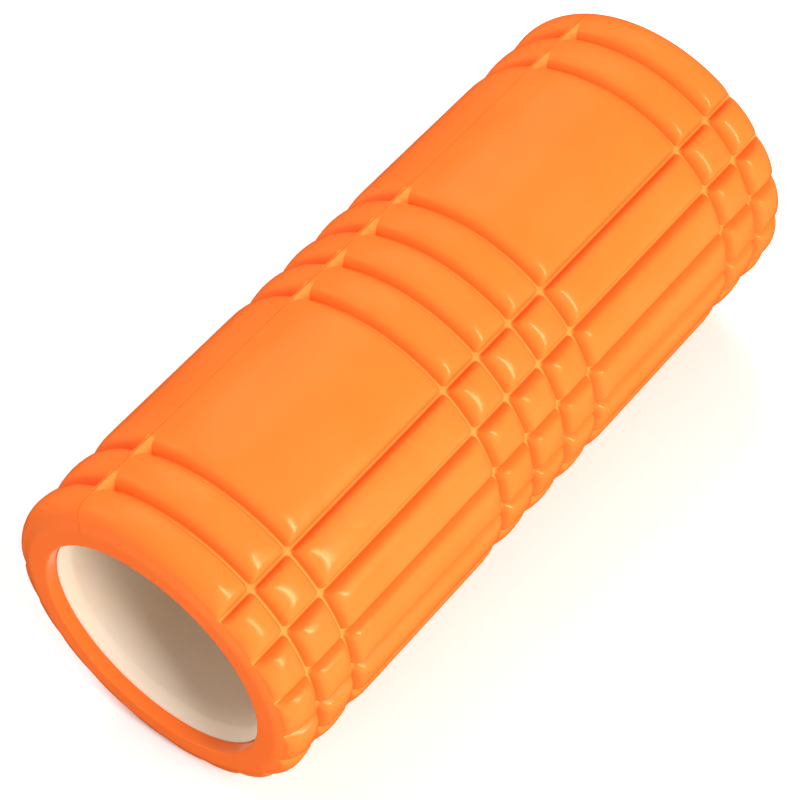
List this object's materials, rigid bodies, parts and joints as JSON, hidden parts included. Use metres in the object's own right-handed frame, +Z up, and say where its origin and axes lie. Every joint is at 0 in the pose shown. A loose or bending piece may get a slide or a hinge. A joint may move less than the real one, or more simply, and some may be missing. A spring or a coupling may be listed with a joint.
{
  "type": "foam roller",
  "caption": "Massage foam roller: a grooved foam sheet wrapped round and bonded to a hollow rigid tube, open through both ends, with rings, square pads, long ribs and wide flat panels.",
  "frame": {"origin": "on the surface the roller lies on, straight below the middle of its axis", "axes": "+X along the roller's axis, +Z up, +Y level and square to both; the seam in the foam faces up and towards +Y"},
  "size_m": [0.33, 0.1383, 0.1391],
  "materials": {
    "foam": "moulded closed-cell foam with a smooth satin skin, orange",
    "adhesive": "thin set layer of clear amber contact adhesive",
    "tube_plastic": "smooth satin plastic pipe, pale beige"
  },
  "bodies": {
    "root": {"foam_sleeve": "foam", "bond_layer": "adhesive", "core_tube": "tube_plastic"}
  },
  "joints": []
}
